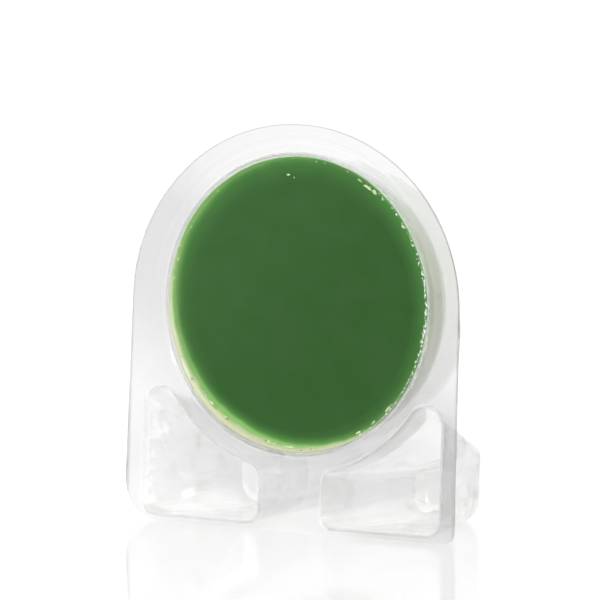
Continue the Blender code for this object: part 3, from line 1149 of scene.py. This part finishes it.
def soap_face_colour(tree, place, x, z):
    """The face: deep green in its middle, with a painted glow brighter to its rim and paler and
    yellower at its edge, and painted light towards its upper left.
    """
    wobble = product(tree, noise_node(tree, place, *RIM_NOISE), RIM_WOBBLE)
    rim = rim_share(tree, place, wobble, *RIM_GLOW)
    low_rim = rim_share(tree, place, wobble, *LOW_GLOW)
    # Painted glow: the face brighter towards its rim
    colour = ramp(tree, math_node(tree, "MAXIMUM", rim, low_rim), SOAP_COLOURS_AND_GLOW)
    cloud = ranged(tree, noise_node(tree, place, *SOAP_CLOUD_NOISE), *SOAP_CLOUD_RANGE)
    colour = mixed(tree, cloud, colour, SOAP_CLOUD)
    # Painted light towards the face's upper left
    lit = ranged(tree, math_node(tree, "SUBTRACT", z, x), *LIT_SLOPE)
    colour = mixed(tree, lit, colour, SOAP_LIT)

    ragged = product(tree, noise_node(tree, place, *RAGGED_NOISE), RAGGED_WOBBLE)
    # Painted glow: paler and yellower at the face's edge
    edge_glow = rim_share(tree, place, ragged, *EDGE_GLOW)
    colour = mixed(tree, math_node(tree, "POWER", edge_glow, EDGE_GLOW_POWER), colour, SOAP_EDGE_GLOW)
    return mixed(tree, rim_share(tree, place, ragged, *BRIGHTEST_GLOW), colour, SOAP_BRIGHTEST_GLOW)


def soap_material():
    """Translucent green glycerine soap, with painted light making its side paler on the right and a
    painted sheen at its upper right.
    """
    material, tree, shader, _, place = new_material("green_glycerine_soap")
    x, y, z = split(tree, place)
    colour = soap_face_colour(tree, place, x, z)
    side = product(tree, ranged(tree, y, *SIDE_START), ranged(tree, y, *SIDE_END))
    colour = mixed(tree, side, colour, SOAP_SIDE)
    # Painted light: the side paler on the right
    lit_right = ranged(tree, x, *LIT_SIDE_RIGHT)
    colour = mixed(tree, product(tree, lit_right, side), colour, SOAP_RIGHT_SIDE_LIT)
    # Painted sheen at the side's upper right
    high = ranged(tree, z, *SHEEN_HIGH)
    right = ranged(tree, x, *SHEEN_RIGHT)
    colour = mixed(tree, product(tree, high, right, side), colour, SOAP_SIDE_SHEEN)
    tree.links.new(colour, shader.inputs["Base Color"])

    gloss = ranged(tree, noise_node(tree, place, *SOAP_GLOSS_NOISE), *SOAP_GLOSS_RANGE)
    tree.links.new(gloss, shader.inputs["Roughness"])
    shader.inputs["Specular IOR Level"].default_value = SOAP_SPECULAR
    shader.inputs["Subsurface Weight"].default_value = SOAP_SCATTER
    shader.inputs["Subsurface Radius"].default_value = SOAP_SCATTER_COLOURS
    shader.inputs["Subsurface Scale"].default_value = SOAP_SCATTER_REACH
    swell = bump(tree, noise_node(tree, place, *SWELL_NOISE), SWELL_BUMP)
    pits = bump(tree, noise_node(tree, place, *PIT_NOISE), PIT_BUMP, under=swell)
    tree.links.new(pits, shader.inputs["Normal"])
    return material


def residue_material():
    """Dried soap, pale and yellowish green, slightly waxy."""
    material, tree, shader, _, place = new_material("dried_soap")
    cloud = ranged(tree, noise_node(tree, place, 900.0, 3.0), 0.35, 0.65, 0.0, 1.0)
    tree.links.new(ramp(tree, cloud, RESIDUE_COLOURS), shader.inputs["Base Color"])
    gloss = ranged(tree, noise_node(tree, place, 1500.0, 2.0), 0.3, 0.7, 0.15, 0.40)
    tree.links.new(gloss, shader.inputs["Roughness"])
    tree.links.new(bump(tree, cloud, 0.03 * MM), shader.inputs["Normal"])
    return material


def bubble_material():
    """The bright wet skin of a bubble in pale soap."""
    material, tree, shader, _, place = new_material("bubble_skin")
    cloud = ranged(tree, noise_node(tree, place, 2500.0, 2.0), 0.35, 0.65, 0.0, 1.0)
    tree.links.new(ramp(tree, cloud, BUBBLE_COLOURS), shader.inputs["Base Color"])
    tree.links.new(ranged(tree, cloud, 0.0, 1.0, 0.06, 0.20), shader.inputs["Roughness"])
    return material


def floor_material():
    """The white glossy tabletop, with a faint unevenness in its colour and gloss."""
    material, tree, shader, _, place = new_material("white_tabletop")
    colour = ramp(tree, noise_node(tree, place, 3.0, 2.0), FLOOR_COLOURS)
    tree.links.new(colour, shader.inputs["Base Color"])
    gloss = ranged(tree, noise_node(tree, place, 9.0, 3.0), 0.3, 0.7, 0.030, 0.050)
    tree.links.new(gloss, shader.inputs["Roughness"])
    shader.inputs["IOR"].default_value = FLOOR_IOR
    return material


# ---- stage, light and camera


def towards(azimuth, elevation):
    """The direction of a place round the object: azimuth 0 is in front, 90 to the right."""
    turn = math.radians(azimuth)
    tilt = math.radians(elevation)
    level = math.cos(tilt)
    return Vector((math.sin(turn) * level, -math.cos(turn) * level, math.sin(tilt)))


def facing_back(direction):
    """The rotation of a lamp or camera that looks from this direction at the object."""
    return direction.to_track_quat("Z", "Y").to_matrix().to_4x4()


def add_floor():
    """The tabletop, larger than the view and level with the tray's feet."""
    mesh = bpy.data.meshes.new("tabletop")
    surface = bmesh.new()
    squares = FLOOR_SQUARES
    bmesh.ops.create_grid(surface, x_segments=squares, y_segments=squares, size=FLOOR_HALF)
    surface.to_mesh(mesh)
    surface.free()
    mesh.materials.append(floor_material())
    floor = in_scene("tabletop", mesh)


def add_world():
    """A white studio all round, darker in front on the left, for contrast in the clear sheet."""
    world = bpy.data.worlds.new("studio")
    world.use_nodes = True
    bpy.context.scene.world = world
    tree = world.node_tree
    background = tree.nodes["Background"]
    direction = add(tree, "ShaderNodeTexCoord").outputs["Generated"]
    facing = vector_node(tree, "DOT_PRODUCT", direction, towards(DIM_AZIMUTH, 0.0))
    strength = ranged(tree, facing, DIM_START, DIM_FULL, WORLD_BRIGHT, WORLD_DIM)
    tree.links.new(strength, background.inputs["Strength"])
    background.inputs["Color"].default_value = (1.0, 1.0, 1.0, 1.0)


def add_lamp(name, azimuth, elevation, distance, width, height, radiance):
    """A soft box that faces the pack; a radiance of 1 looks as bright as the studio's white."""
    lamp = bpy.data.lights.new(name, "AREA")
    lamp.shape = "RECTANGLE"
    lamp.size = width
    lamp.size_y = height
    lamp.energy = radiance * math.pi * width * height
    box = in_scene(name, lamp)
    back = towards(azimuth, elevation)
    box.matrix_world = Matrix.Translation(back * distance) @ facing_back(back)


def add_key():
    """The key light in front of the pack, above the camera, even over the whole floor."""
    lamp = bpy.data.lights.new("key", "SUN")
    lamp.angle = math.radians(KEY_WIDTH)
    lamp.energy = KEY_STRENGTH * math.pi
    key = in_scene("key", lamp)
    key.matrix_world = facing_back(towards(KEY_AZIMUTH, KEY_ELEVATION))


def add_camera():
    """The camera, a long lens a little above the pack and to its right."""
    lens = bpy.data.cameras.new("camera")
    lens.lens = VIEW_LENS
    lens.sensor_width = VIEW_SENSOR
    lens.clip_start = VIEW_NEAREST
    lens.clip_end = VIEW_FARTHEST
    camera = in_scene("camera", lens)
    back = towards(VIEW_AZIMUTH, VIEW_ELEVATION)
    right = towards(VIEW_AZIMUTH + 90.0, 0.0)
    up = back.cross(right)
    target = SHEET_FRAME.translation + right * VIEW_ASIDE + up * VIEW_ABOVE
    camera.matrix_world = Matrix.Translation(target + back * VIEW_DISTANCE) @ facing_back(back)
    bpy.context.scene.camera = camera
    bpy.context.scene.view_settings.view_transform = "Standard"


def main():
    """The stage, the tray and the soap with the chips and bubbles on its rim."""
    add_camera()
    add_floor()
    add_world()
    add_key()
    for lamp in LAMPS:
        add_lamp(*lamp)
    tray = make_tray(clear_sheet_material())
    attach(tray, "tray")
    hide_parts("clear_tray")
    soap = make_soap(soap_material())
    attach(soap, "puck")
    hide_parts("soap_puck")
    for detail in (make_chips(residue_material()), make_bubbles(bubble_material())):
        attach(detail, "puck")


main()
